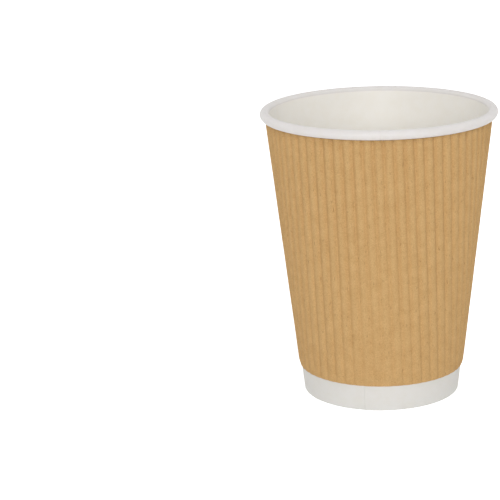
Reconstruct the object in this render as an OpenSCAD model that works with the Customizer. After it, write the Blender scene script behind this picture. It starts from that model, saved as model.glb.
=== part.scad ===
// Twelve ounce paper cup with a fluted kraft sleeve, standing on its base ring.
// The origin is the centre of the base on the table, and the seam side faces -Y.

/* [Cup] */
// Height from the table to the top of the rolled rim
cup_h = 111; // [70:0.5:160]
// Outer diameter of the rolled rim
rim_d = 90; // [80:0.5:100]
// Outer diameter of the side wall at the table
base_d = 60; // [50:0.5:70]
// Diameter of the roll of the rim
roll_d = 3.6; // [3:0.1:4.5]
// Angle through which the edge of the sheet is rolled
roll_turn = 300; // [270:5:300]
// Thickness of the side wall's paper
wall_t = 0.4; // [0.3:0.05:0.5]

/* [Side seam] */
// Angle of the outer edge of the seam, from the front
seam_at = -11.7; // [-40:0.1:40]
// Angle over which the two ends of the sheet overlap
lap_angle = 12.3; // [6:0.1:20]
// Height that the pressed seam stands out from the wall
lap_step = 0.1; // [0.1:0.05:0.3]
// Width of the joint line on the rolled rim
rim_line_w = 0.15; // [0.1:0.05:0.3]
// Depth of the joint line on the rolled rim
rim_line_depth = 0.08; // [0.05:0.01:0.15]

/* [Base] */
// Thickness of the base disc's paper
base_t = 0.3; // [0.2:0.05:0.4]
// Height of the disc's top face above the table
disc_h = 8; // [6:0.5:12]
// Outer radius of the bend between the disc and its skirt
disc_bend = 0.9; // [0.6:0.1:1.4]
// Room under the skirt's lower edge, inside the folded foot
skirt_gap = 0.2; // [0.1:0.05:1]
// Distance of the hem's upper edge below the disc's top face
hem_below_disc = 1.6; // [1.5:0.1:3]
// Inner radius of the corners of the folded foot
foot_in = 0.1; // [0.05:0.01:0.1]
// Room for the bond between two layers of paper
bond_gap = 0.05; // [0.02:0.01:0.08]

/* [Ripple sleeve] */
// Height of the sleeve's lower edge above the table
sleeve_low = 10.25; // [5:0.05:20]
// Room between the sleeve's upper edge and the underside of the rim
sleeve_rim_gap = 0.2; // [0.1:0.05:0.6]
// Thickness of the sleeve's paper
sleeve_t = 0.25; // [0.2:0.01:0.3]
// Distance from one rib to the next
rib_pitch = 3.88; // [3.6:0.01:6]
// Depth of a flute from its crest to its valley, where the wall leaves room for it
rib_depth = 0.95; // [0.4:0.05:1]
// 2 is an even wave, and more is a broader rib and a narrower valley
rib_sharpness = 5; // [2:0.5:6]
// Stand-off of the crests from the cup's wall at the sleeve's lower edge
crest_off_low = 0.82; // [0.75:0.01:1.2]
// Stand-off of the crests from the cup's wall at the sleeve's upper edge
crest_off_top = 1.45; // [1:0.01:1.6]
// Distance from the middle of the flat sheet to the nearest crest
crest_shift = 0.78; // [-2:0.01:2]
// Angle of the middle of the flat sheet, from the front
sheet_at = -17; // [-60:1:60]
// Room between the cup's wall and the sleeve where the two are bonded
sleeve_gap = 0.15; // [0.12:0.01:0.2]
// Length over which the lower edge is pressed down to the wall
foot_press = 2.4; // [1.5:0.1:4]
// Share of the ribs that is left at the lower edge itself
edge_rib = 0.35; // [0:0.05:0.4]
// Width of the bonded overlap at the back, along the upper edge
sleeve_lap = 7; // [4:0.5:12]
// Length over which the ribs run out beside the overlap
rib_run_out = 5; // [3:0.5:8]

/* [Hidden] */
$fn = 96;
white_paper = "#e9ebee";
kraft_paper = "#c69c68";

// Centre of the rim's roll in the cup's half section
roll_r = roll_d / 2;
roll_at = [rim_d / 2 - roll_r, cup_h - roll_r];

// The wall leans so that its inner face runs straight into the outer face of the roll
foot_x = base_d / 2;
foot_to_roll = roll_at - [foot_x, 0];
lean = atan(foot_to_roll.x / foot_to_roll.y) - asin((roll_r - wall_t) / norm(foot_to_roll));

// Radius at a height, on a face that lies some depth inside the wall's outer face
function wall_x(z, depth = 0) = foot_x + z * tan(lean) - depth / cos(lean);

// Step outwards across the wall
function across(length) = length * [cos(lean), -sin(lean)];

// The foot is a stack of three layers: wall, skirt and hem
skirt_depth = wall_t + bond_gap;
hem_depth = skirt_depth + base_t + bond_gap;
foot_stack = hem_depth + wall_t;
foot_bend = foot_in + wall_t;
wall_corner = [wall_x(foot_bend, foot_bend), foot_bend];
hem_corner = [wall_x(foot_bend, foot_stack - foot_bend), foot_bend];
hem_top = disc_h - hem_below_disc;

// Points of an arc in a half section, in the order from one angle to the other
arc_step = 7.5;
function arc(centre, r, from, to) =
    let (steps = ceil(abs(to - from) / arc_step))
    [for (i = [0 : steps]) let (a = from + (to - from) * i / steps) centre + r * [cos(a), sin(a)]];

// Half section of the cup's sheet: up the hem's inner face, round the foot, up the
// wall and round the roll, and back along the sheet's other face
module wall_section() {
    roll_from = 180 - lean;
    roll_to = roll_from - roll_turn;
    polygon(concat(
        [[wall_x(hem_top, foot_stack), hem_top]],
        arc(hem_corner, foot_bend, 180 - lean, 270),
        arc(wall_corner, foot_bend, 270, 360 - lean),
        arc(roll_at, roll_r - wall_t, roll_from, roll_to),
        arc(roll_at, roll_r, roll_to, roll_from),
        arc(wall_corner, foot_in, 360 - lean, 270),
        arc(hem_corner, foot_in, 270, 180 - lean),
        [[wall_x(hem_top, hem_depth), hem_top]]
    ));
}

// Half section of the seam's outer layer, which is rooted in the middle of the wall
// and pressed flat under the foot
module lap_section() {
    bend_out = foot_bend + lap_step;
    root = wall_t / 2;
    polygon(concat(
        arc(wall_corner, bend_out, -asin(foot_bend / bend_out), -lean),
        [roll_at - across(roll_r - wall_t - lap_step)],
        [roll_at - across(roll_r - root)],
        arc(wall_corner, foot_bend - root, -lean, -90),
        [[wall_corner.x, 0]]
    ));
}

// Turns a piece from the front, -Y, by an angle towards +X
module from_front(angle) {
    rotate([0, 0, angle - 90]) children();
}

// Past the overlap, the outer layer runs straight down to the wall over this angle
run_down_sink = 0.02;
run_down = acos((foot_x - run_down_sink) / (foot_x + lap_step));
lap_end = seam_at + lap_angle + run_down;

module side_seam() {
    reach = 2 * cup_h;
    intersection() {
        from_front(seam_at)
            rotate_extrude(angle = lap_end - seam_at) lap_section();
        from_front(lap_end)
            translate([foot_x - run_down_sink, 0, 0])
                rotate([0, lean, 0])
                    translate([-reach, -reach / 2, -reach / 2]) cube(reach);
    }
}

// The inner end of the sheet shows as a fine line across the rim
module rim_line() {
    line_angle = 2 * asin(rim_line_w / rim_d);
    from_front(seam_at + lap_angle)
        rotate_extrude(angle = line_angle)
            polygon(concat(
                arc(roll_at, roll_r + rim_line_depth, -60, 180 - lean),
                arc(roll_at, roll_r - rim_line_depth, 180 - lean, -60)
            ));
}

module cup_wall() {
    color(white_paper) difference() {
        union() {
            rotate_extrude() wall_section();
            side_seam();
        }
        rim_line();
    }
}

// Half section of the base: a disc whose edge is drawn down into a skirt
module base_section() {
    bend_z = disc_h - disc_bend;
    bend_at = [wall_x(bend_z, skirt_depth + disc_bend), bend_z];
    skirt_low = wall_t + skirt_gap;
    polygon(concat(
        [[wall_x(skirt_low, skirt_depth), skirt_low]],
        arc(bend_at, disc_bend, -lean, 90),
        [[0, disc_h], [0, disc_h - base_t]],
        arc(bend_at, disc_bend - base_t, 90, -lean),
        [[wall_x(skirt_low, skirt_depth + base_t), skirt_low]]
    ));
}

module cup_base() {
    color(white_paper) rotate_extrude() base_section();
}

// The sleeve is a fan-shaped sheet with parallel ribs, wrapped to a cone.
// A point on the flat sheet has a distance x from the middle rib line, and a
// distance s from the centre of the fan, which becomes the tip of the cone.
sleeve_top = cup_h - roll_d - sleeve_rim_gap;
crest_low_x = wall_x(sleeve_low) + crest_off_low;
crest_top_x = wall_x(sleeve_top) + crest_off_top;
cone_lean = atan((crest_top_x - crest_low_x) / (sleeve_top - sleeve_low));
s_low = crest_low_x / sin(cone_lean);
s_top = crest_top_x / sin(cone_lean);

// Angles on the fan: half a turn of the cup, the overlap, and the run-out of the ribs
half_fan = 180 * sin(cone_lean);
lap_fan = asin(sleeve_lap / s_top);
run_fan = asin(rib_run_out / s_top);

// The right edge of the sheet laps over the left one
function edge_fan(x) = half_fan + (x > 0 ? lap_fan : 0);

function clamp01(v) = max(0, min(1, v));

// Height of the rib's section at x: 1 on a crest, 0 in a valley
function rib(x) = 1 - pow(abs(sin(180 * (x - crest_shift) / rib_pitch)), rib_sharpness);

// The ribs are pressed flat along the lower edge and beside the overlap
function rib_left(x, s, fan) =
    min(edge_rib + (1 - edge_rib) * sin(90 * clamp01((s - s_low) / foot_press)),
        clamp01((edge_fan(x) - lap_fan - fan) / run_fan));

// The upper layer of the overlap rises over the lower one
function lap_lift(x, fan) =
    x > 0 ? (sleeve_t + bond_gap) * clamp01((fan - half_fan) / run_fan + 1) : 0;

// The cup's own seam lifts the sleeve, with a margin on either side
seam_margin = 3;
function seam_lift(turn) =
    turn > seam_at - seam_margin && turn < lap_end + seam_margin ? lap_step : 0;

// Radius of the sleeve's outer face: its valleys rest on the cup's wall
function sleeve_x(x, s, z, fan, turn) =
    let (
        floor_x = wall_x(z) + sleeve_gap + sleeve_t + seam_lift(turn),
        crest_x = s * sin(cone_lean),
        rib_x = crest_x - min(rib_depth, crest_x - floor_x) * (1 - rib(x))
    )
    floor_x + rib_left(x, s, fan) * (rib_x - floor_x) + lap_lift(x, fan);

// A point of the sheet on the cup, on its outer face or one thickness inside it
function on_sleeve(x, s, t) =
    let (
        fan = asin(x / s),
        turn = sheet_at + fan / sin(cone_lean),
        z = sleeve_low + (s - s_low) * cos(cone_lean),
        r = sleeve_x(x, s, z, abs(fan), turn) - t
    )
    [r * sin(turn), -r * cos(turn), z];

// Rows of points follow the edge of the sheet, and then spread up to its upper edge
edge_rows = 3;
inner_rows = 6;
rows = edge_rows + inner_rows;
least_step = 0.05;

function edge_s(x, k) =
    let (fan = edge_fan(x) - (k < edge_rows ? k * lap_fan / (edge_rows - 1) : lap_fan + run_fan))
    min(max(s_low + foot_press * k / edge_rows, abs(x) / sin(fan)), s_top - (rows - k) * least_step);

function row_s(x, k) =
    k <= edge_rows ? edge_s(x, k)
        : edge_s(x, edge_rows) + (s_top - edge_s(x, edge_rows)) * (k - edge_rows) / inner_rows;

// Columns of points follow the ribs: on each crest, in each valley and at the flanks' upper ends
end_s = s_top - rows * least_step;
left_x = -end_s * sin(edge_fan(-1));
right_x = end_s * sin(edge_fan(1));
flank_at = 0.28;
columns_off = [0, flank_at, 0.5, 1 - flank_at];
first_rib = floor((left_x - crest_shift) / rib_pitch);
last_rib = ceil((right_x - crest_shift) / rib_pitch);
least_column = 0.3;
columns = concat(
    [left_x],
    [for (i = [first_rib : last_rib]) for (off = columns_off)
        let (x = crest_shift + (i + off) * rib_pitch)
        if (x > left_x + least_column && x < right_x - least_column) x],
    [right_x]
);

module ripple_sleeve() {
    last = len(columns) - 1;
    side = len(columns) * (rows + 1);
    function at(i, k, inner = 0) = inner * side + i * (rows + 1) + k;
    function pair(a, b, c, d) = [[a, b, c], [a, c, d]];
    points = [
        for (t = [0, sleeve_t]) for (x = columns) for (k = [0 : rows]) on_sleeve(x, row_s(x, k), t)
    ];
    across_faces = [
        for (i = [0 : last - 1]) for (k = [0 : rows - 1])
            each concat(
                pair(at(i, k), at(i, k + 1), at(i + 1, k + 1), at(i + 1, k)),
                pair(at(i, k, 1), at(i + 1, k, 1), at(i + 1, k + 1, 1), at(i, k + 1, 1))
            )
    ];
    edge_faces = [
        for (i = [0 : last - 1])
            each concat(
                pair(at(i + 1, rows), at(i, rows), at(i, rows, 1), at(i + 1, rows, 1)),
                pair(at(i, 0), at(i + 1, 0), at(i + 1, 0, 1), at(i, 0, 1))
            )
    ];
    end_faces = [
        for (k = [0 : rows - 1])
            each concat(
                pair(at(0, k + 1), at(0, k), at(0, k, 1), at(0, k + 1, 1)),
                pair(at(last, k), at(last, k + 1), at(last, k + 1, 1), at(last, k, 1))
            )
    ];
    color(kraft_paper) polyhedron(points, concat(across_faces, edge_faces, end_faces));
}

cup_wall();
cup_base();
ripple_sleeve();
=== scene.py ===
"""A twelve ounce paper cup with a fluted kraft sleeve, dressed over its solid model.

It has three pieces of paper, each made in place of its solid: the side sheet with its rolled
rim, lapped seam and folded foot, the base disc, and the sleeve. Lengths are in metres.
"""
import math

import bmesh
import bpy
from mathutils import Matrix, Vector


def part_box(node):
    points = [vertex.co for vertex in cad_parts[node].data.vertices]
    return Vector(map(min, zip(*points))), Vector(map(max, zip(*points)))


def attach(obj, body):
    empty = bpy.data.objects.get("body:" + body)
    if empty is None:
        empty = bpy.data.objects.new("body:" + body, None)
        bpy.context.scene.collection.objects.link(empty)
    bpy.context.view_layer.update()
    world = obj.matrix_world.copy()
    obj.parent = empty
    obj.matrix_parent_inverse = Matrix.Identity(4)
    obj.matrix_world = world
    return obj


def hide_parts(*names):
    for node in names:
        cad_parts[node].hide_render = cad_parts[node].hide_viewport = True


bl_info = {
    "name": "Ripple Paper Cup",
    "version": (1, 0, 0),
    "blender": (4, 5, 0),
    "location": "View3D > Sidebar > Paper Cup",
    "description": "Builds a takeaway paper cup with a fluted kraft sleeve, and its stage",
    "category": "Add Mesh",
}

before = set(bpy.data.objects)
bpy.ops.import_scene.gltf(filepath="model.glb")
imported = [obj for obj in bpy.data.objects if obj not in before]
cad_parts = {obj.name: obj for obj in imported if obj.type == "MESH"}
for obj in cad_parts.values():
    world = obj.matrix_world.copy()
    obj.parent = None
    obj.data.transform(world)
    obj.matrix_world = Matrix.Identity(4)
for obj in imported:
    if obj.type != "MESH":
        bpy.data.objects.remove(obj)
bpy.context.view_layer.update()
WALL_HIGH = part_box("cup_wall")[1]
SLEEVE_LOW, SLEEVE_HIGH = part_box("ripple_sleeve")
BASE_LOW, BASE_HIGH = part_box("cup_base")
BODY = "root"
MM = 0.001
DEGREE = math.pi / 180

# Largest angle between two points of a bend: on the rolled rim, the foot and the base disc
ROLL_STEP = 6 * DEGREE
FOOT_STEP = 12 * DEGREE
DISC_STEP = 10 * DEGREE
# Points that are closer together than this are merged
MERGE = 0.001 * MM
# What each of the side sheet's points keeps: the way out of its face, and its share of the seam
POINT_DATA = ("way_r", "way_z", "proud")
# Weight 1 in the group "paper thickness" stands for this many thicknesses of the side sheet
THICKEST = 2
# Cells of each noise to a metre: they are about 4 mm, 0.5 mm, 0.4 mm and 0.6 mm wide
CLOUDS = 260.0
TOOTH = 1900.0
FIBRES = 2600.0
FLECKS = 1700.0
# Share of the board's red, green and blue that its duller patches keep
DULL_PATCH = (0.985, 0.98, 0.965)
# What the floor adds for the camera, which brings it to white and leaves its shadow
FLOOR_GLOW = 0.7
FLOOR_HALF = 4.0
SENSOR_WIDTH = 36
NEAREST, FARTHEST = 0.01, 20
# Each lamp's setting for its power, its place, and its width and height
LAMPS = {
    "key": ("key_light", (0, -2.2, 0.82), (1.6, 0.82)),
    "top": ("top_light", (0, -0.4, 2.4), (1.6, 1.6)),
    "back_left": ("back_light", (-2.4, 1.6, 1.4), (1.4, 1.4)),
    "back_right": ("back_light", (2.4, 1.6, 1.4), (1.4, 1.4)),
}


def linear(hex_colour):
    """An sRGB hex colour as linear red, green and blue."""
    parts = [int(hex_colour[i:i + 2], 16) / 255 for i in (1, 3, 5)]
    return tuple(c / 12.92 if c <= 0.04045 else ((c + 0.055) / 1.055) ** 2.4 for c in parts)


def clamp(value):
    """The value, kept between 0 and 1."""
    return max(0.0, min(1.0, value))


def length(name, default, description):
    """A setting in metres."""
    return bpy.props.FloatProperty(
        name=name, description=description, default=default, min=0, unit="LENGTH", precision=5)


def angle(name, degrees, description):
    """A setting in degrees, which is kept in radians."""
    return bpy.props.FloatProperty(
        name=name, description=description, default=degrees * DEGREE, subtype="ANGLE")


def number(name, default, description, unit="NONE"):
    """A setting that is a plain number, or has a unit of its own."""
    return bpy.props.FloatProperty(
        name=name, description=description, default=default, min=0, unit=unit)


def count(name, default, description):
    """A setting that counts something."""
    return bpy.props.IntProperty(name=name, description=description, default=default, min=1)


def colour(name, hex_colour, description):
    """A colour setting, from an sRGB hex value."""
    return bpy.props.FloatVectorProperty(
        name=name, description=description, default=linear(hex_colour), subtype="COLOR",
        min=0, max=1)


class CupSettings(bpy.types.PropertyGroup):
    """Sizes of the white cup: its side sheet and its base."""

    height: length("Height", WALL_HIGH.z, "From the table to the top of the rim")
    rim_radius: length("Rim radius", WALL_HIGH.x, "Outer radius of the rolled rim")
    foot_radius: length("Foot radius", 30 * MM, "Outer radius of the wall at the table")
    roll_radius: length("Roll radius", 1.8 * MM, "Outer radius of the rim's roll")
    roll_turn: angle("Roll turn", 300, "Angle through which the sheet's edge is rolled")
    wall: length("Wall paper", 0.4 * MM, "Thickness of the side sheet")
    foot_inside: length("Foot inside", 0.1 * MM, "Inner radius of the folded foot's corners")
    bond: length("Bond", 0.05 * MM, "Room between two bonded layers")
    base: length("Base paper", 0.3 * MM, "Thickness of the base disc")
    disc_height: length("Disc height", BASE_HIGH.z, "Height of the disc's top face")
    disc_bend: length("Disc bend", 0.9 * MM, "Outer radius of the bend at the disc's edge")
    hem_below: length("Hem below disc", 1.6 * MM, "From the disc's top down to the hem's edge")
    seam_at: angle("Seam", -11.7, "Angle of the seam's outer edge from the front")
    seam_lap: angle("Seam lap", 12.3, "Angle over which the sheet's ends overlap")
    seam_pressed: length("Pressed ply", 0.25 * MM, "Thickness of each ply in the pressed seam")
    seam_edge: angle("Seam edge", 0.06, "Angle of the columns that keep the seam's edges crisp")
    seam_run_down: angle("Run down", 5.1, "Angle over which the outer ply comes down to the wall")
    seam_notch: angle("Notch", 1.0, "Angle over which the inner ply's end is closed on inside")
    columns: count("Columns", 240, "Columns of faces round the cup, outside its seam")
    lap_columns: count("Lap columns", 9, "Columns of faces across the seam's lap")
    run_down_columns: count("Run-down columns", 20, "Columns of faces across the run down")
    wall_rows: count("Wall rows", 16, "Rows of faces from the foot to the rolled rim")
    disc_columns: count("Disc columns", 160, "Columns of faces round the base disc")
    disc_rings: count("Disc rings", 14, "Rings of faces from the disc's middle to its bend")
    # The coated face and the rolled rim's face are one coated board in two colours: painted light
    # makes the inner face lighter, and painted shade makes the roll darker
    coated: colour("Coated face", "#FCF9F3", "The cup's inner face, which is coated")
    rolled: colour("Rolled rim, painted shade", "#ECE8E6", "The coated face where it is stretched over the roll")
    board: colour("Bare face", "#E8E7E4", "The cup's outer face, which is bare white board")


class SleeveSettings(bpy.types.PropertyGroup):
    """Sizes of the fluted kraft sleeve."""

    low: length("Lower edge", SLEEVE_LOW.z, "Height of the sleeve's lower edge")
    top: length("Upper edge", SLEEVE_HIGH.z, "Height of the sleeve's upper edge")
    paper: length("Sleeve paper", 0.25 * MM, "Thickness of the sleeve's paper")
    pitch: length("Rib pitch", 3.88 * MM, "Distance from one rib to the next")
    depth: length("Flute depth", 0.95 * MM, "Depth of a flute from its crest to its valley")
    crest_low: length("Crest low", 0.82 * MM, "Stand-off of the crests at the lower edge")
    crest_top: length("Crest top", 1.45 * MM, "Stand-off of the crests at the upper edge")
    crest_shift: length("Crest shift", 0.78 * MM, "From the sheet's middle to the nearest crest")
    sheet_at: angle("Sheet middle", -17, "Angle of the flat sheet's middle from the front")
    gap: length("Bonded gap", 0.08 * MM, "Room between the wall and the pressed sleeve")
    foot_press: length("Foot press", 2.4 * MM, "Length over which the lower edge is pressed down")
    edge_rib: number("Rib at the edge", 0.35, "Share of the ribs that is left at the lower edge")
    lap: length("Overlap", 7 * MM, "Width of the bonded overlap at the back")
    run_out: length("Run-out", 5 * MM, "Length over which the ribs run out beside the overlap")
    sharpness: number("Rib sharpness", 5.0, "2 is an even wave, and more is a narrower valley")
    per_rib: count("Columns per rib", 12, "Columns of faces across one rib")
    rows: count("Rows", 44, "Rows of faces from the lower edge to the upper edge")
    kraft: colour("Kraft", "#DBB57E", "Kraft paper")
    kraft_dark: colour("Kraft fibres", "#C29862", "The darker fibres in the kraft paper")
    fleck: colour("Flecks", "#91693C", "The small dark flecks in the kraft paper")


class StageSettings(bpy.types.PropertyGroup):
    """The floor, the lights and the camera."""

    distance: length("Camera distance", 744.6 * MM, "From the camera to the middle of the cup")
    aim_height: length("Aim height", 55.4 * MM, "Height of the point that the camera turns about")
    elevation: angle("Elevation", 15.36, "Angle of the camera above the horizon")
    pan: angle("Pan", -3.86, "Turn of the camera away from the cup, which stands right of centre")
    roll: angle("Roll", -0.6, "Turn of the camera about its own axis")
    lens: number("Lens", 138.6, "Focal length on a sensor 36 mm wide", "CAMERA")
    room_light: number("Room light", 0.42, "Strength of the even light from all sides")
    key_light: number("Key light", 20.0, "Power of the lamp in front, above the camera", "POWER")
    top_light: number("Top light", 9.0, "Power of the lamp over the cup", "POWER")
    back_light: number("Back light", 10.5, "Power of each of the two lamps behind", "POWER")
    floor: colour("Floor", "#FBFBFA", "The plain pale floor")


def curve_points(centre, radius, start, end, step):
    """Points along an arc in a half section, each with the direction out from its centre."""
    steps = max(1, math.ceil(abs(end - start) / step))
    turns = [start + (end - start) * i / steps for i in range(steps + 1)]
    ways = [(math.cos(t), math.sin(t)) for t in turns]
    return [(centre[0] + radius * x, centre[1] + radius * z, x, z) for x, z in ways]


class Section:
    """Half section of the cup, in radius and height, from the cup's settings."""

    def __init__(self, cup):
        self.cup = cup
        self.roll_at = (cup.rim_radius - cup.roll_radius, cup.height - cup.roll_radius)
        # The wall's outer face runs straight from the foot, and touches the inside of the roll
        reach = math.hypot(self.roll_at[0] - cup.foot_radius, self.roll_at[1])
        self.lean = (math.atan2(self.roll_at[0] - cup.foot_radius, self.roll_at[1])
                     - math.asin((cup.roll_radius - cup.wall) / reach))
        # Depths inside the wall's outer face: the skirt's outer face, and the hem's inner one
        self.skirt_depth = cup.wall + cup.bond
        self.stack = self.skirt_depth + cup.base + cup.bond + cup.wall
        self.foot_bend = cup.foot_inside + cup.wall

    def wall_r(self, z, depth=0.0):
        """Radius at a height, on a face some depth inside the wall's outer face."""
        return self.cup.foot_radius + z * math.tan(self.lean) - depth / math.cos(self.lean)

    def corner(self, depth):
        """Centre of one of the folded foot's two bends, at its depth inside the wall."""
        return (self.wall_r(self.foot_bend, depth), self.foot_bend)


def set_front(point, turn, radius):
    """Puts a point at a radius, some way round from the front towards +X, at its own height."""
    point.co.x = radius * math.sin(turn)
    point.co.y = -radius * math.cos(turn)


def face_away(bm, height):
    """Turns the faces of a sheet so that those round the cup's middle look away from its axis."""
    bm.normal_update()
    sample = next(f for f in bm.faces if 0.4 < f.calc_center_median().z / height < 0.6)
    middle = sample.calc_center_median()
    if sample.normal.xy.dot(middle.xy) < 0:
        bmesh.ops.reverse_faces(bm, faces=bm.faces)


def finished_piece(name, bm, materials, slot, *nodes):
    """Makes the object, smooth shaded, and sets it in the frame in place of its solids."""
    mesh = bpy.data.meshes.new(name)
    bm.to_mesh(mesh)
    bm.free()
    mesh.shade_smooth()
    for material in materials:
        mesh.materials.append(material)
    piece = bpy.data.objects.new(name, mesh)
    bpy.context.scene.collection.objects.link(piece)
    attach(piece, BODY)
    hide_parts(*nodes)
    return piece


def add_node(tree, kind, settings=None, links=None):
    """Adds a node with its settings and links.

    A setting whose name the node has is its own, and any other is a socket's value.
    """
    node = tree.nodes.new(kind)
    for name, value in (settings or {}).items():
        if isinstance(name, str) and hasattr(node, name):
            setattr(node, name, value)
        else:
            node.inputs[name].default_value = value
    for name, socket in (links or {}).items():
        tree.links.new(socket, node.inputs[name])
    return node


def new_material(name):
    """An empty node material and its tree."""
    material = bpy.data.materials.new(name)
    material.use_nodes = True
    material.node_tree.nodes.clear()
    return material, material.node_tree


def white_paper(name, white, roughness, tooth_depth):
    """White cup board, either bare or under a thin polyethylene coat.

    The board has a faint cloudiness and a fine tooth. The coat fills the tooth and is satin.
    """
    material, tree = new_material(name)
    place = add_node(tree, "ShaderNodeTexCoord").outputs["Object"]
    # The cloudiness is of about 4 mm. The real tooth, of about 0.1 mm, is too fine to show, and
    # is drawn at about 0.5 mm
    clouds = add_node(tree, "ShaderNodeTexNoise",
                      {"Scale": CLOUDS, "Detail": 3.0, "Roughness": 0.6}, {"Vector": place})
    tooth = add_node(tree, "ShaderNodeTexNoise", {"Scale": TOOTH, "Detail": 2.0},
                     {"Vector": place})
    dull = [part * share for part, share in zip(white, DULL_PATCH)]
    spread = add_node(tree, "ShaderNodeMapRange", {"From Min": 0.35, "From Max": 0.6},
                      {"Value": clouds.outputs["Fac"]})
    tone = add_node(tree, "ShaderNodeMix", {"data_type": "RGBA", 6: (*dull, 1), 7: (*white, 1)},
                    {0: spread.outputs["Result"]})
    bump = add_node(tree, "ShaderNodeBump", {"Strength": 0.5, "Distance": tooth_depth},
                    {"Height": tooth.outputs["Fac"]})
    paper = add_node(tree, "ShaderNodeBsdfPrincipled", {"Roughness": roughness, "IOR": 1.5},
                     {"Base Color": tone.outputs[2], "Normal": bump.outputs["Normal"]})
    add_node(tree, "ShaderNodeOutputMaterial", links={"Surface": paper.outputs["BSDF"]})
    return material


def both_faces(cup):
    """The bare outer face and the coated inner face of the cup's board."""
    return [white_paper("bare cup board", cup.board, roughness=0.7, tooth_depth=0.008 * MM),
            white_paper("coated cup board", cup.coated, roughness=0.4, tooth_depth=0.003 * MM)]


def kraft_paper(name, kraft, fibres, fleck):
    """Unbleached kraft paper, uncoated and matte.

    Brown fibres mottle it, and small dark flecks of bark are scattered over it.
    """
    material, tree = new_material(name)
    place = add_node(tree, "ShaderNodeTexCoord").outputs["Object"]
    # The real fibres, about 0.03 mm wide, are too fine to show, and are drawn as a mottle of
    # about 0.4 mm. The clouds are of about 4 mm, and the flecks about 0.6 mm wide and upright
    mottle = add_node(tree, "ShaderNodeTexNoise",
                      {"Scale": FIBRES, "Detail": 3.0, "Roughness": 0.6}, {"Vector": place})
    clouds = add_node(tree, "ShaderNodeTexNoise", {"Scale": CLOUDS, "Detail": 3.0},
                      {"Vector": place})
    stretched = add_node(tree, "ShaderNodeMapping", {"Scale": (1.0, 1.0, 0.3)},
                         {"Vector": place})
    specks = add_node(tree, "ShaderNodeTexNoise",
                      {"Scale": FLECKS, "Detail": 1.0, "Roughness": 0.4},
                      {"Vector": stretched.outputs["Vector"]})
    fibre_part = add_node(tree, "ShaderNodeMapRange", {"From Min": 0.36, "From Max": 0.72},
                          {"Value": mottle.outputs["Fac"]})
    cloud_part = add_node(tree, "ShaderNodeMapRange", {"From Min": 0.35, "From Max": 0.65,
                                                       "To Max": 0.25},
                          {"Value": clouds.outputs["Fac"]})
    both = add_node(tree, "ShaderNodeMath", {"operation": "MULTIPLY_ADD", 1: 0.75},
                    {0: fibre_part.outputs["Result"], 2: cloud_part.outputs["Result"]})
    ground = add_node(tree, "ShaderNodeMix", {"data_type": "RGBA", "clamp_factor": True,
                                              6: (*kraft, 1), 7: (*fibres, 1)},
                      {0: both.outputs["Value"]})
    speck_part = add_node(tree, "ShaderNodeMapRange", {"From Min": 0.66, "From Max": 0.8,
                                                       "To Max": 0.4},
                          {"Value": specks.outputs["Fac"]})
    flecked = add_node(tree, "ShaderNodeMix", {"data_type": "RGBA", "clamp_factor": True,
                                               7: (*fleck, 1)},
                       {0: speck_part.outputs["Result"], 6: ground.outputs[2]})
    bump = add_node(tree, "ShaderNodeBump", {"Strength": 0.35, "Distance": 0.04 * MM},
                    {"Height": mottle.outputs["Fac"]})
    paper = add_node(tree, "ShaderNodeBsdfPrincipled",
                     {"Roughness": 0.85, "IOR": 1.45, "Specular IOR Level": 0.2},
                     {"Base Color": flecked.outputs[2], "Normal": bump.outputs["Normal"]})
    add_node(tree, "ShaderNodeOutputMaterial", links={"Surface": paper.outputs["BSDF"]})
    return material


def side_sheet_path(section):
    """Face of the side sheet that lies outwards on the wall, from the hem to the rolled edge.

    Each station has its radius, its height, the direction out of that face, and how far the
    lapped seam stands proud there: not at all where the foot is pressed flat.
    """
    cup, lean = section.cup, section.lean
    # Angles of the directions square to the wall, inwards and outwards, and of straight down
    inwards, outwards, down = math.pi - lean, 2 * math.pi - lean, 1.5 * math.pi
    hem_top = cup.disc_height - cup.hem_below
    path = [(section.wall_r(hem_top, section.stack), hem_top, -math.cos(lean), math.sin(lean), 0)]
    hem_corner = section.corner(section.stack - section.foot_bend)
    hem_bend = curve_points(hem_corner, section.foot_bend, inwards, down, FOOT_STEP)
    path += [(*station, 0) for station in hem_bend]
    wall_corner = section.corner(section.foot_bend)
    wall_bend = curve_points(wall_corner, section.foot_bend, down, outwards, FOOT_STEP)
    # The seam rises round the wall's bend, once past the flat of the foot
    bend_steps = len(wall_bend) - 1
    path += [(*station, clamp(2 * (i - 1) / bend_steps)) for i, station in enumerate(wall_bend)]
    roll = curve_points(section.roll_at, cup.roll_radius - cup.wall, inwards,
                        inwards - cup.roll_turn, ROLL_STEP)
    roll = [(r, z, -x, -y, 1) for r, z, x, y in roll]
    low, high = path[-1], roll[0]
    for i in range(1, cup.wall_rows):
        share = i / cup.wall_rows
        path.append((low[0] + (high[0] - low[0]) * share, low[1] + (high[1] - low[1]) * share,
                     math.cos(lean), -math.sin(lean), 1))
    return path + roll


def seam_stages(cup):
    """Stages of the wrap from the sheet's inner end: the ply, the angle and the columns."""
    edge = cup.seam_edge
    single = 2 * math.pi - cup.seam_lap - edge - cup.seam_run_down
    return [
        ("inner", edge, 1),
        ("inner", cup.seam_lap - edge, cup.lap_columns),
        ("single", edge, 1),
        ("single", single, cup.columns),
        ("landing", cup.seam_run_down, cup.run_down_columns),
        ("outer", cup.seam_lap - edge, cup.lap_columns),
        ("outer", edge, 1),
    ]


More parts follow.
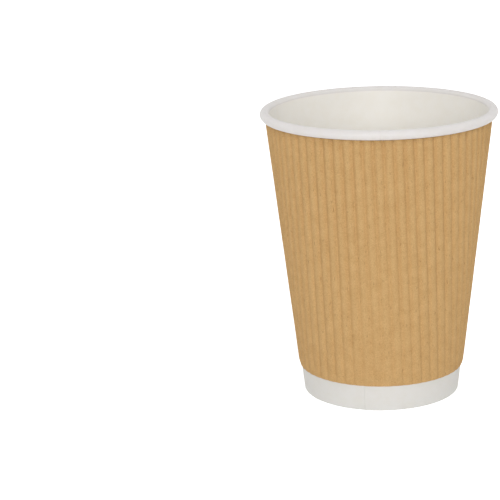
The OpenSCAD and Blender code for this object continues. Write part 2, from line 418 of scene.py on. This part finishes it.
def press_plies(bm, stage_of, cup):
    """Gives each point its paper's thickness, and moves it to its own ply's outer face.

    Each ply is pressed thin in the lap. Beside it the outer ply comes down to the wall's face,
    and is thicker there, so that its inner face closes on the inner ply's end.
    """
    layers = bm.verts.layers
    way_r, way_z, proud = [layers.float[name] for name in POINT_DATA]
    thickness = layers.deform.verify()
    inner_end = cup.seam_at + cup.seam_lap
    for point, stage in stage_of.items():
        turn = math.atan2(point.co.x, -point.co.y)
        stands = point[proud]
        # Where the foot is pressed flat, the two plies together are as thick as the wall
        ply = cup.seam_pressed * stands + cup.wall / 2 * (1 - stands)
        paper, shift = cup.wall, 0.0
        if stage == "inner":
            paper, shift = ply, ply - cup.wall
        elif stage == "outer":
            paper, shift = ply, 2 * ply - cup.wall
        elif stage == "landing":
            past = clamp((turn - inner_end) / cup.seam_run_down)
            notch = clamp((turn - inner_end) / cup.seam_notch)
            shift = (2 * ply - cup.wall) * (1 - past) ** 2
            paper = cup.wall + shift - ply * (1 - notch) ** 2
        point[thickness][0] = paper / (THICKEST * cup.wall)
        point.co += shift * Vector((point[way_r] * math.sin(turn),
                                    -point[way_r] * math.cos(turn), point[way_z]))


def side_sheet(cup):
    """The wrapped side sheet: its path is spun round from one end of the lap to the other."""
    section = Section(cup)
    bm = bmesh.new()
    layers = bm.verts.layers
    way_r, way_z, proud = [layers.float.new(name) for name in POINT_DATA]
    layers.deform.verify()
    points = []
    for r, z, out_r, out_z, stands in side_sheet_path(section):
        point = bm.verts.new((0, 0, z))
        set_front(point, cup.seam_at + cup.seam_lap, r)
        point[way_r], point[way_z], point[proud] = out_r, out_z, stands
        points.append(point)
    ring = points + [bm.edges.new(pair) for pair in zip(points, points[1:])]
    stage_of = {}
    for stage, sweep, columns in seam_stages(cup):
        spun = bmesh.ops.spin(bm, geom=ring, axis=(0, 0, 1), angle=-sweep, steps=columns,
                              use_merge=False, use_duplicate=False)
        ring = spun["geom_last"]
        for point in bm.verts:
            stage_of.setdefault(point, stage)
    # The plies are pressed only now, because each stage is spun from the last ring before it
    press_plies(bm, stage_of, cup)
    face_away(bm, cup.height)
    for face in bm.faces:
        middle = face.calc_center_median()
        on_roll = middle.xy.length > section.roll_at[0] or middle.z > section.roll_at[1]
        face.material_index = 1 if on_roll else 0
    return bm


class PAPERCUP_OT_side_sheet(bpy.types.Operator):
    """Wrapped side sheet with its rolled rim, lapped seam and folded foot"""

    bl_idname = "paper_cup.side_sheet"
    bl_label = "Side sheet"

    def execute(self, context):
        cup = context.scene.paper_cup
        # The modifier's other face takes the next paper: coated inside the wall, and on the rim a
        # darker copy of the coated board, which is painted shade
        papers = both_faces(cup)
        papers.append(white_paper("coated board on the roll", cup.rolled, roughness=0.45,
                                  tooth_depth=0.004 * MM))
        piece = finished_piece("side_sheet", side_sheet(cup), papers, "white_paper", "cup_wall")
        group = piece.vertex_groups.new(name="paper thickness")
        wall = piece.modifiers.new("paper", "SOLIDIFY")
        wall.thickness = THICKEST * cup.wall
        wall.vertex_group = group.name
        wall.offset = -1
        wall.use_even_offset = True
        wall.use_quality_normals = True
        wall.material_offset = 1
        return {"FINISHED"}


def base_path(section):
    """Top face of the base disc, from its middle to its edge and down the skirt."""
    cup, lean = section.cup, section.lean
    bend_z = cup.disc_height - cup.disc_bend
    bend_at = (section.wall_r(bend_z, section.skirt_depth + cup.disc_bend), bend_z)
    path = [(bend_at[0] * i / cup.disc_rings, cup.disc_height) for i in range(cup.disc_rings)]
    bend = curve_points(bend_at, cup.disc_bend, 90 * DEGREE, -lean, DISC_STEP)
    path += [(r, z) for r, z, _, _ in bend]
    return path + [(section.wall_r(BASE_LOW.z, section.skirt_depth), BASE_LOW.z)]


def base_disc(cup):
    """The base disc, whose top face is spun all the way round."""
    bm = bmesh.new()
    points = []
    for r, z in base_path(Section(cup)):
        point = bm.verts.new((0, 0, z))
        set_front(point, 0, r)
        points.append(point)
    ring = points + [bm.edges.new(pair) for pair in zip(points, points[1:])]
    bmesh.ops.spin(bm, geom=ring, axis=(0, 0, 1), angle=2 * math.pi, steps=cup.disc_columns,
                   use_merge=True, use_duplicate=False)
    bmesh.ops.remove_doubles(bm, verts=bm.verts, dist=MERGE)
    bmesh.ops.recalc_face_normals(bm, faces=bm.faces)
    disc_face = min(bm.faces, key=lambda f: f.calc_center_median().xy.length)
    if disc_face.normal.z < 0:
        bmesh.ops.reverse_faces(bm, faces=bm.faces)
    return bm


class PAPERCUP_OT_base(bpy.types.Operator):
    """Base disc with its skirt, held in the folded foot"""

    bl_idname = "paper_cup.base"
    bl_label = "Base"

    def execute(self, context):
        cup = context.scene.paper_cup
        coated_side_up = reversed(both_faces(cup))
        piece = finished_piece("base_disc", base_disc(cup), coated_side_up, "white_paper",
                               "cup_base")
        board = piece.modifiers.new("paper", "SOLIDIFY")
        board.thickness = cup.base
        board.offset = -1
        board.use_even_offset = True
        board.material_offset = 1
        return {"FINISHED"}


class Fan:
    """The sleeve's flat sheet: a fan with parallel ribs, which wraps to a cone.

    A point on it has a distance x from the middle line and s from the fan's centre.
    """

    # Length of the outermost columns, which end at the sheet's upper corners
    SHORTEST = 0.1 * MM
    # Least distance of any other column from those
    CLEAR = 0.05 * MM
    # Below 1, columns stand closer together in the valleys
    COLUMN_POWER = 0.8
    # Above 1, rows stand closer together at the pressed lower edge
    ROW_POWER = 1.7
    # Angle over which the sleeve comes down beside the cup's seam
    SEAM_SLOPE = 3 * DEGREE

    def __init__(self, sleeve, cup):
        self.sleeve, self.cup, self.section = sleeve, cup, Section(cup)
        low_r = self.section.wall_r(sleeve.low) + sleeve.crest_low
        top_r = self.section.wall_r(sleeve.top) + sleeve.crest_top
        self.lean = math.atan2(top_r - low_r, sleeve.top - sleeve.low)
        self.s_low = low_r / math.sin(self.lean)
        self.s_top = top_r / math.sin(self.lean)
        self.half = math.pi * math.sin(self.lean)
        self.lap = math.asin(sleeve.lap / self.s_top)
        self.run = math.asin(sleeve.run_out / self.s_top)
        self.s_corner = self.s_top - self.SHORTEST
        self.left = -self.s_corner * math.sin(self.edge(-1))
        self.right = self.s_corner * math.sin(self.edge(1))

    def edge(self, x):
        """Angle of the fan's edge: its right edge laps over the left one at the back."""
        return self.half + (self.lap if x > 0 else 0)

    def rib(self, x):
        """Height of a rib's section at x: broad arches, 1 on a crest and 0 in a narrow valley."""
        turns = (x - self.sleeve.crest_shift) / self.sleeve.pitch
        return 1 - abs(math.sin(math.pi * turns)) ** self.sleeve.sharpness

    def columns(self):
        """Places of the grid's columns, closer together towards each valley."""
        sleeve = self.sleeve
        half = sleeve.per_rib // 2
        steps = [math.copysign(abs(i / half) ** self.COLUMN_POWER, i) / 2
                 for i in range(-half, half)]
        first = math.floor((self.left - sleeve.crest_shift) / sleeve.pitch)
        last = math.ceil((self.right - sleeve.crest_shift) / sleeve.pitch)
        places = [sleeve.crest_shift + sleeve.pitch * (rib + step)
                  for rib in range(first, last + 1) for step in steps]
        inside = [x for x in places if self.left + self.CLEAR < x < self.right - self.CLEAR]
        return [self.left, *inside, self.right]

    def rib_share(self, x, s, fan):
        """Share of a rib that the pressed lower edge and the bonded overlap leave."""
        at_foot = math.sin(math.pi / 2 * clamp((s - self.s_low) / self.sleeve.foot_press))
        at_lap = clamp((self.edge(x) - self.lap - fan) / self.run)
        return min(self.sleeve.edge_rib + (1 - self.sleeve.edge_rib) * at_foot, at_lap)

    def on_cup(self, x, share):
        """Place on the cup of the point at x, some share of the way up its column."""
        sleeve = self.sleeve
        s_edge = min(max(self.s_low, abs(x) / math.sin(self.edge(x))), self.s_corner)
        s = s_edge + (self.s_top - s_edge) * share ** self.ROW_POWER
        fan = math.asin(x / s)
        turn = sleeve.sheet_at + fan / math.sin(self.lean)
        z = sleeve.low + (s - self.s_low) * math.cos(self.lean)
        # Radii of the sleeve's outer face: pressed to the wall, on a crest, and with its rib here
        pressed = self.section.wall_r(z) + sleeve.gap + sleeve.paper + self.seam_lift(turn)
        crest = s * math.sin(self.lean)
        ribbed = crest - min(sleeve.depth, crest - pressed) * (1 - self.rib(x))
        over_lap = clamp((abs(fan) - self.half) / self.run + 1) if x > 0 else 0
        r = (pressed + self.rib_share(x, s, abs(fan)) * (ribbed - pressed)
             + over_lap * (sleeve.paper + self.cup.bond))
        return Vector((r * math.sin(turn), -r * math.cos(turn), z))

    def seam_lift(self, turn):
        """How far the cup's own seam lifts the sleeve."""
        cup = self.cup
        start, end = cup.seam_at, cup.seam_at + cup.seam_lap + cup.seam_run_down
        inside = min(turn - start, end - turn)
        return (2 * cup.seam_pressed - cup.wall) * clamp(1 + inside / self.SEAM_SLOPE)


def sleeve_sheet(sleeve, cup):
    """The sleeve's outer face: a grid on the flat fan, whose columns follow the ribs."""
    fan = Fan(sleeve, cup)
    columns = fan.columns()
    bm = bmesh.new()
    bmesh.ops.create_grid(bm, x_segments=len(columns) - 1, y_segments=sleeve.rows, size=1)
    # The grid runs from -1 to 1 both ways, which gives each point its column and its height on it
    for point in bm.verts:
        column = round((point.co.x + 1) / 2 * (len(columns) - 1))
        point.co = fan.on_cup(columns[column], (point.co.y + 1) / 2)
    face_away(bm, cup.height)
    return bm


class PAPERCUP_OT_ripple_sleeve(bpy.types.Operator):
    """Fluted kraft sleeve, wrapped round the wall from its fan-shaped sheet"""

    bl_idname = "paper_cup.ripple_sleeve"
    bl_label = "Ripple sleeve"

    def execute(self, context):
        cup, sleeve = context.scene.paper_cup, context.scene.paper_cup_sleeve
        paper = kraft_paper("unbleached kraft", sleeve.kraft, sleeve.kraft_dark, sleeve.fleck)
        piece = finished_piece("kraft_sleeve", sleeve_sheet(sleeve, cup), [paper], "kraft_paper",
                               "ripple_sleeve")
        sheet = piece.modifiers.new("paper", "SOLIDIFY")
        sheet.thickness = sleeve.paper
        sheet.offset = -1
        return {"FINISHED"}


def plain_floor(name, pale):
    """A plain matt floor that keeps the shadow, and shows white to the camera past it."""
    material, tree = new_material(name)
    path = add_node(tree, "ShaderNodeLightPath")
    seen = add_node(tree, "ShaderNodeMath", {"operation": "MAXIMUM"},
                    {0: path.outputs["Is Camera Ray"], 1: path.outputs["Is Glossy Ray"]})
    lift = add_node(tree, "ShaderNodeMath", {"operation": "MULTIPLY", 1: FLOOR_GLOW},
                    {0: seen.outputs["Value"]})
    matt = add_node(tree, "ShaderNodeBsdfDiffuse", {"Color": (*pale, 1)})
    glow = add_node(tree, "ShaderNodeEmission", {"Color": (1, 1, 1, 1)},
                    {"Strength": lift.outputs["Value"]})
    both = add_node(tree, "ShaderNodeAddShader", links={0: matt.outputs["BSDF"],
                                                        1: glow.outputs["Emission"]})
    add_node(tree, "ShaderNodeOutputMaterial", links={"Surface": both.outputs["Shader"]})
    return material


def white_room(strength):
    """A world that lights evenly from all sides, and is plain white to the camera."""
    world = bpy.data.worlds.new("white room")
    world.use_nodes = True
    tree = world.node_tree
    tree.nodes.clear()
    path = add_node(tree, "ShaderNodeLightPath")
    seen = add_node(tree, "ShaderNodeMath", {"operation": "MAXIMUM"},
                    {0: path.outputs["Is Camera Ray"], 1: path.outputs["Is Glossy Ray"]})
    level = add_node(tree, "ShaderNodeMapRange", {"To Min": strength, "To Max": 1.0},
                     {"Value": seen.outputs["Value"]})
    light = add_node(tree, "ShaderNodeBackground", {"Color": (1, 1, 1, 1)},
                     {"Strength": level.outputs["Result"]})
    add_node(tree, "ShaderNodeOutputWorld", links={"Surface": light.outputs["Background"]})
    bpy.context.scene.world = world


def soft_lamp(name, place, size, power, target):
    """A rectangular soft lamp that faces a point."""
    lamp = bpy.data.lights.new(name, "AREA")
    lamp.shape = "RECTANGLE"
    lamp.size, lamp.size_y = size
    lamp.energy = power
    holder = bpy.data.objects.new(name, lamp)
    holder.location = place
    holder.rotation_euler = (Vector(target) - Vector(place)).to_track_quat("-Z", "Y").to_euler()
    bpy.context.scene.collection.objects.link(holder)


def photo_camera(stage):
    """The camera at the photograph's viewing angle."""
    back = Vector((0, -math.cos(stage.elevation), math.sin(stage.elevation)))
    place = Vector((0, 0, stage.aim_height)) + back * stage.distance
    right = Vector((1, 0, 0))
    up = right.cross(-back)
    turned_back = back * math.cos(stage.pan) - right * math.sin(stage.pan)
    turned_right = right * math.cos(stage.pan) + back * math.sin(stage.pan)
    rolled_right = turned_right * math.cos(stage.roll) + up * math.sin(stage.roll)
    rolled_up = up * math.cos(stage.roll) - turned_right * math.sin(stage.roll)
    axes = Matrix((rolled_right, rolled_up, turned_back)).transposed()
    camera = bpy.data.cameras.new("camera")
    camera.sensor_width = SENSOR_WIDTH
    camera.lens = stage.lens
    camera.clip_start, camera.clip_end = NEAREST, FARTHEST
    holder = bpy.data.objects.new("camera", camera)
    holder.matrix_world = Matrix.Translation(place) @ axes.to_4x4()
    bpy.context.scene.collection.objects.link(holder)
    bpy.context.scene.camera = holder


class PAPERCUP_OT_stage(bpy.types.Operator):
    """Plain floor, soft light, white surroundings and the camera"""

    bl_idname = "paper_cup.stage"
    bl_label = "Stage"

    def execute(self, context):
        stage = context.scene.paper_cup_stage
        bm = bmesh.new()
        bmesh.ops.create_grid(bm, x_segments=1, y_segments=1, size=FLOOR_HALF)
        mesh = bpy.data.meshes.new("floor")
        bm.to_mesh(mesh)
        bm.free()
        mesh.materials.append(plain_floor("matt floor", stage.floor))
        floor = bpy.data.objects.new("floor", mesh)
        context.scene.collection.objects.link(floor)
        white_room(stage.room_light)
        aim = (0, 0, stage.aim_height)
        for name, (power, place, size) in LAMPS.items():
            soft_lamp(name, place, size, getattr(stage, power), aim)
        photo_camera(stage)
        context.scene.view_settings.view_transform = "Standard"
        return {"FINISHED"}


class PAPERCUP_PT_panel(bpy.types.Panel):
    """Lists the cup's pieces and their settings"""

    bl_label = "Paper Cup"
    bl_idname = "PAPERCUP_PT_panel"
    bl_space_type = "VIEW_3D"
    bl_region_type = "UI"
    bl_category = "Paper Cup"

    def draw(self, context):
        for step in STEPS:
            self.layout.operator(step.bl_idname)
        for holder, settings in SETTINGS.items():
            box = self.layout.box()
            for name in settings.__annotations__:
                box.prop(getattr(context.scene, holder), name)


STEPS = (PAPERCUP_OT_stage, PAPERCUP_OT_side_sheet, PAPERCUP_OT_base, PAPERCUP_OT_ripple_sleeve)
SETTINGS = {
    "paper_cup": CupSettings,
    "paper_cup_sleeve": SleeveSettings,
    "paper_cup_stage": StageSettings,
}
CLASSES = (*SETTINGS.values(), *STEPS, PAPERCUP_PT_panel)


def register():
    """Registers the classes, and gives the scene each group of settings."""
    for cls in CLASSES:
        bpy.utils.register_class(cls)
    for holder, settings in SETTINGS.items():
        setattr(bpy.types.Scene, holder, bpy.props.PointerProperty(type=settings))


def unregister():
    """Undoes what register does."""
    for holder in SETTINGS:
        delattr(bpy.types.Scene, holder)
    for cls in reversed(CLASSES):
        bpy.utils.unregister_class(cls)


def main():
    """Builds the stage and the three pieces."""
    register()
    bpy.ops.paper_cup.stage()
    bpy.ops.paper_cup.side_sheet()
    bpy.ops.paper_cup.base()
    bpy.ops.paper_cup.ripple_sleeve()


if __name__ == "__main__":
    main()
